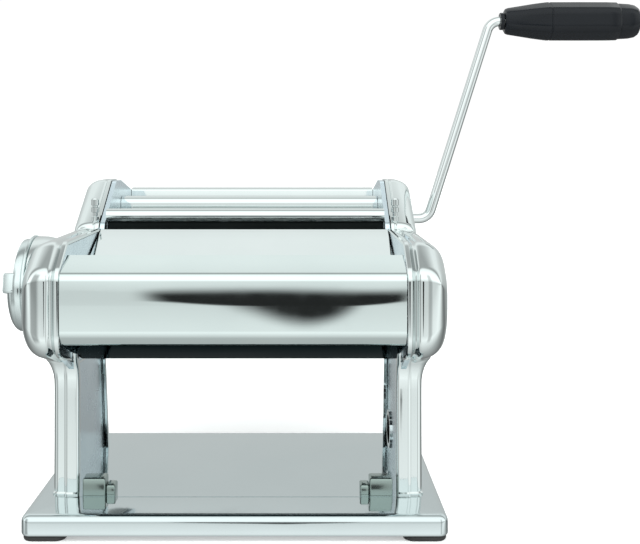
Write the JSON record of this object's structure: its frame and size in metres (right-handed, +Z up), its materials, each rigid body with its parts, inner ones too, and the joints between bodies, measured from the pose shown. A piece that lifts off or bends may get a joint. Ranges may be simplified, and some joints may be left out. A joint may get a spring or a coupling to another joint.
{
  "type": "pasta roller machine",
  "caption": "Hand-cranked pasta sheeter: folded tray base, two leg frames, smooth rollers with a gap knob, and a lift-off twin cutting head driven by a bent crank.",
  "frame": {"origin": "centre of the machine's bounding box, on the table under the feet", "axes": "+X towards the crank, +Y away from the user towards the cutting head, +Z up"},
  "size_m": [0.3464, 0.2043, 0.2684],
  "materials": {
    "chrome_sheet": "mirror polished chrome plate",
    "zinc_plate": "bright zinc plated sheet",
    "polished_roller": "ground and polished",
    "cutting_steel": "satin machined",
    "gear_steel": "oiled machined steel",
    "machined_steel": "machined",
    "bright_fasteners": "nickel plated",
    "spring_steel": "rolled spring steel",
    "bronze_bush": "sintered bronze",
    "bright_rod": "bright plated",
    "knob_metal": "satin chrome",
    "black_grip": "glossy black moulding",
    "rubber_foot": "matt black rubber"
  },
  "bodies": {
    "machine": {"base_plate": "chrome_sheet", "rubber_feet": "rubber_foot", "base_screws": "bright_fasteners", "base_nuts": "bright_fasteners", "foot_brackets": "bright_rod", "right_side_cover": "chrome_sheet", "left_side_cover": "chrome_sheet", "right_side_frame": "zinc_plate", "left_side_frame": "zinc_plate", "clamp_bush": "bright_rod", "tie_rods": "bright_fasteners", "front_cover": "chrome_sheet", "feed_ramp": "chrome_sheet", "rear_cover": "chrome_sheet", "roller_scrapers": "spring_steel", "drive_roller_bushes": "bronze_bush", "right_cam_axle": "machined_steel", "knob_seat_ring": "knob_metal", "right_attachment_rail": "machined_steel", "left_attachment_rail": "machined_steel"},
    "smooth_drive": {"smooth_drive_roller": "polished_roller", "drive_roller_gear": "gear_steel"},
    "gap_carriage": {"right_bearing_block": "machined_steel", "left_bearing_block": "machined_steel"},
    "smooth_adjustable": {"smooth_adjustable_roller": "polished_roller", "adjustable_roller_gear": "gear_steel"},
    "regulator": {"knob_spindle": "machined_steel", "left_gap_cam": "gear_steel", "left_cam_gear": "gear_steel"},
    "knob": {"regulator_knob": "knob_metal", "knob_screw": "bright_fasteners"},
    "gap_sync": {"sync_rod": "machined_steel", "left_sync_gear": "gear_steel", "right_sync_gear": "gear_steel"},
    "right_regulator": {"right_gap_cam": "gear_steel", "right_cam_gear": "gear_steel"},
    "cutting_head": {"right_cutter_frame": "zinc_plate", "left_cutter_frame": "zinc_plate", "right_cutter_cap": "chrome_sheet", "left_cutter_cap": "chrome_sheet", "cutter_bushes": "bronze_bush", "cutter_hook_pins": "machined_steel", "cutter_front_cover": "chrome_sheet", "slot_divider": "chrome_sheet", "cutter_rear_cover": "chrome_sheet", "cutter_tie_rods": "bright_fasteners", "wide_combs": "spring_steel", "narrow_combs": "spring_steel"},
    "wide_driven": {"wide_cutting_roller_driven": "cutting_steel", "wide_driven_gear": "gear_steel"},
    "wide_idle": {"wide_cutting_roller_idle": "cutting_steel", "wide_idle_gear": "gear_steel"},
    "narrow_driven": {"narrow_cutting_roller_driven": "cutting_steel", "narrow_driven_gear": "gear_steel"},
    "narrow_idle": {"narrow_cutting_roller_idle": "cutting_steel", "narrow_idle_gear": "gear_steel"},
    "crank": {"crank_rod": "bright_rod", "crank_collar": "bright_rod", "grip_rivet": "bright_rod"},
    "grip": {"crank_grip": "black_grip"}
  },
  "joints": [
    {"name": "smooth_roll", "type": "hinge", "parent": "machine", "child": "smooth_drive", "pos_m": [-0.06545, -0.02985, 0.109], "axis": [1, 0, 0], "continuous": true},
    {"name": "knob_turn", "type": "hinge", "parent": "machine", "child": "regulator", "pos_m": [-0.06545, -0.06485, 0.113], "axis": [1, 0, 0], "range_deg": [0, 324]},
    {"name": "knob_pull", "type": "slide", "parent": "regulator", "child": "knob", "axis": [-1, 0, 0], "range_m": [0, 0.003], "stiffness_N_per_m": 600, "springref_m": -0.002},
    {"name": "gap_slide", "type": "slide", "parent": "machine", "child": "gap_carriage", "axis": [0, 1, 0], "range_m": [0, 0.004]},
    {"name": "adjustable_roll", "type": "hinge", "parent": "gap_carriage", "child": "smooth_adjustable", "pos_m": [-0.06545, -0.06235, 0.109], "axis": [1, 0, 0], "continuous": true},
    {"name": "sync_turn", "type": "hinge", "parent": "machine", "child": "gap_sync", "pos_m": [-0.06545, -0.08417, 0.10782], "axis": [1, 0, 0], "range_deg": [-324, 0]},
    {"name": "right_cam_turn", "type": "hinge", "parent": "machine", "child": "right_regulator", "pos_m": [-0.06545, -0.06485, 0.113], "axis": [1, 0, 0], "range_deg": [0, 324]},
    {"name": "cutting_head_lift", "type": "slide", "parent": "machine", "child": "cutting_head", "axis": [0, 0, 1], "range_m": [0, 0.06]},
    {"name": "wide_roll", "type": "hinge", "parent": "cutting_head", "child": "wide_driven", "pos_m": [-0.06545, 0.0389, 0.124], "axis": [1, 0, 0], "continuous": true},
    {"name": "wide_idle_roll", "type": "hinge", "parent": "cutting_head", "child": "wide_idle", "pos_m": [-0.06545, 0.0174, 0.124], "axis": [1, 0, 0], "continuous": true},
    {"name": "narrow_roll", "type": "hinge", "parent": "cutting_head", "child": "narrow_driven", "pos_m": [-0.06545, 0.0654, 0.1355], "axis": [1, 0, 0], "continuous": true},
    {"name": "narrow_idle_roll", "type": "hinge", "parent": "cutting_head", "child": "narrow_idle", "pos_m": [-0.06545, 0.0869, 0.1355], "axis": [1, 0, 0], "continuous": true},
    {"name": "crank_pull", "type": "slide", "parent": "narrow_driven", "child": "crank", "axis": [1, 0, 0], "range_m": [0, 0.03]},
    {"name": "grip_spin", "type": "hinge", "parent": "crank", "child": "grip", "pos_m": [-0.06545, 0.0654, 0.2567], "axis": [1, 0, 0], "continuous": true}
  ],
  "couplings": [
    {"joint": "adjustable_roll", "follows": "smooth_roll", "ratio": -1},
    {"joint": "knob_turn", "follows": "gap_slide", "rad_per_m": 1413.7},
    {"joint": "sync_turn", "follows": "gap_slide", "rad_per_m": -1413.7},
    {"joint": "right_cam_turn", "follows": "gap_slide", "rad_per_m": 1413.7},
    {"joint": "wide_idle_roll", "follows": "wide_roll", "ratio": -1},
    {"joint": "narrow_idle_roll", "follows": "narrow_roll", "ratio": -1}
  ]
}
